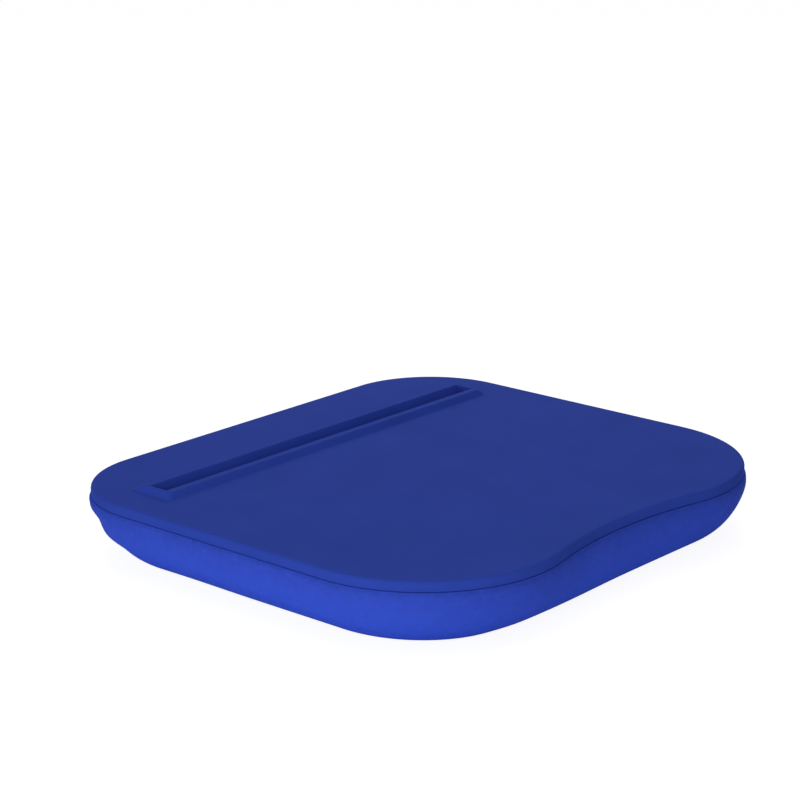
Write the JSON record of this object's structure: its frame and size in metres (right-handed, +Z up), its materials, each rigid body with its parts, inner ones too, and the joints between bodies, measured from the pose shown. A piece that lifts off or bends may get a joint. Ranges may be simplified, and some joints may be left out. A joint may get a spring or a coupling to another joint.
{
  "type": "lap tray with cushion",
  "caption": "Lap tray: thin moulded blue board with a wrist dip and a raised slot for a standing device, on a bead-filled stretch-fabric cushion held by hook-and-loop strips.",
  "frame": {"origin": "middle of the footprint, on the surface that the cushion stands on", "axes": "+X runs to the right along the slot, +Y towards the back edge where the slot is, +Z up"},
  "size_m": [0.299, 0.266, 0.0402],
  "materials": {
    "board_plastic": "fine matte moulded plastic, dark royal blue",
    "carrier_plastic": "plain matte moulded plastic, near black",
    "cover_fabric": "bright blue knitted stretch fabric with a soft sheen",
    "elastic": "braided round elastic, blue",
    "bag_fabric": "thin white woven lining",
    "beads": "white expanded beads",
    "hook_tape": "black hook tape",
    "loop_tape": "black loop tape"
  },
  "bodies": {
    "cushion": {"cushion_cover": "cover_fabric", "carrier_panel": "carrier_plastic", "hem_elastic": "elastic", "bead_bag": "bag_fabric", "bead_fill": "beads", "loop_strip_front_left": "loop_tape", "loop_strip_front_right": "loop_tape", "loop_strip_middle_left": "loop_tape", "loop_strip_middle_right": "loop_tape", "loop_strip_back": "loop_tape"},
    "board": {"top_board": "board_plastic", "hook_strip_front_left": "hook_tape", "hook_strip_front_right": "hook_tape", "hook_strip_middle_left": "hook_tape", "hook_strip_middle_right": "hook_tape", "hook_strip_back": "hook_tape"}
  },
  "joints": [
    {"name": "board_lift", "type": "slide", "parent": "cushion", "child": "board", "axis": [0, 0, 1], "range_m": [0, 0.06]}
  ]
}
